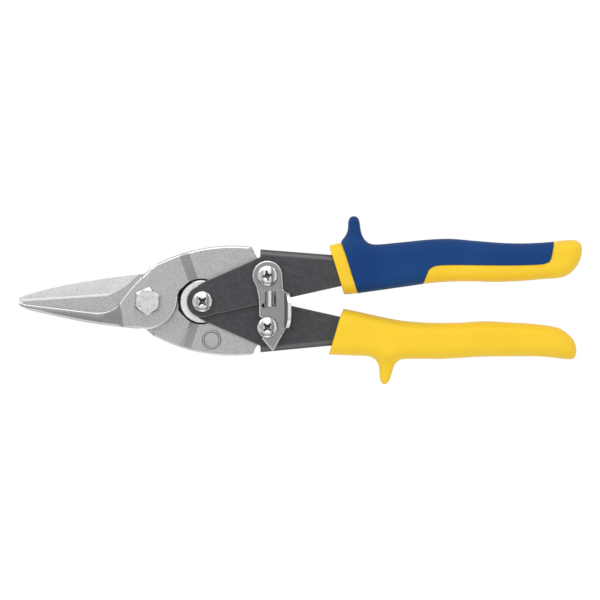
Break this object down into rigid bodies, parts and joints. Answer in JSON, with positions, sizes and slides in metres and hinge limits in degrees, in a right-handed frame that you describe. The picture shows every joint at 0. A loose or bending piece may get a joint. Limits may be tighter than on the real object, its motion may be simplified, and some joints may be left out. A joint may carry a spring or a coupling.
{
  "type": "aviation snips",
  "caption": "Compound-action aviation snips with two offset blades, sheet-steel channel handles, a return spring, a thumb latch and moulded grips with finger stops.",
  "frame": {"origin": "under the middle of the tool, on the plane it lies on", "axes": "+X from the blade tips to the grips, +Y towards the two-colour grip, +Z out of the front face with the latch"},
  "size_m": [0.2504, 0.075, 0.027],
  "materials": {
    "jaw_steel": "satin, ground bevels",
    "handle_paint": "satin dark grey coat",
    "bright_steel": "bright plated",
    "zinc_disc": "bright zinc",
    "spring_steel": "drawn wire",
    "latch_steel": "satin stamped",
    "yellow_plastic": "satin moulded",
    "blue_rubber": "soft matte overmould"
  },
  "bodies": {
    "upper_handle": {"upper_handle": "handle_paint", "handle_pivot_screw": "bright_steel", "handle_pivot_sleeve": "bright_steel", "handle_pivot_nut": "bright_steel", "spring_disc_front": "zinc_disc", "spring_disc_rear": "zinc_disc", "return_spring": "spring_steel", "upper_pin_screw": "bright_steel", "upper_pin_spacer_front": "bright_steel", "upper_pin_spacer_rear": "bright_steel", "upper_pin_nut": "bright_steel", "latch_washer": "bright_steel", "upper_grip_core": "yellow_plastic", "upper_grip_overmould": "blue_rubber"},
    "lower_handle": {"lower_handle": "handle_paint", "lower_pin_screw": "bright_steel", "lower_pin_spacer": "bright_steel", "lower_pin_nut": "bright_steel", "lower_grip": "yellow_plastic"},
    "front_jaw": {"front_jaw": "jaw_steel", "jaw_pivot_bolt": "bright_steel", "jaw_pivot_washer": "bright_steel", "jaw_pivot_nut": "bright_steel"},
    "rear_jaw": {"rear_jaw": "jaw_steel"},
    "latch": {"latch": "latch_steel"}
  },
  "joints": [
    {"name": "handle_opening", "type": "hinge", "parent": "upper_handle", "child": "lower_handle", "pos_m": [-0.04337, -0.00055, 0.0112], "axis": [0, 0, -1], "range_deg": [0, 38.9], "deforming": ["return_spring"]},
    {"name": "front_jaw_pin", "type": "hinge", "parent": "upper_handle", "child": "front_jaw", "pos_m": [-0.01456, 0.01086, 0.0112], "axis": [0, 0, -1], "range_deg": [0, 9.5]},
    {"name": "jaw_pivot", "type": "hinge", "parent": "front_jaw", "child": "rear_jaw", "pos_m": [-0.06775, -0.00055, 0.0112], "axis": [0, 0, -1], "range_deg": [0, 20]},
    {"name": "latch_swing", "type": "hinge", "parent": "upper_handle", "child": "latch", "pos_m": [-0.01456, 0.01086, 0.0112], "axis": [0, 0, 1], "range_deg": [0, 38.9]}
  ],
  "couplings": [
    {"joint": "front_jaw_pin", "follows": "handle_opening", "ratio": 0.24305},
    {"joint": "jaw_pivot", "follows": "handle_opening", "ratio": 0.51391},
    {"joint": "latch_swing", "follows": "handle_opening", "ratio": 1}
  ]
}
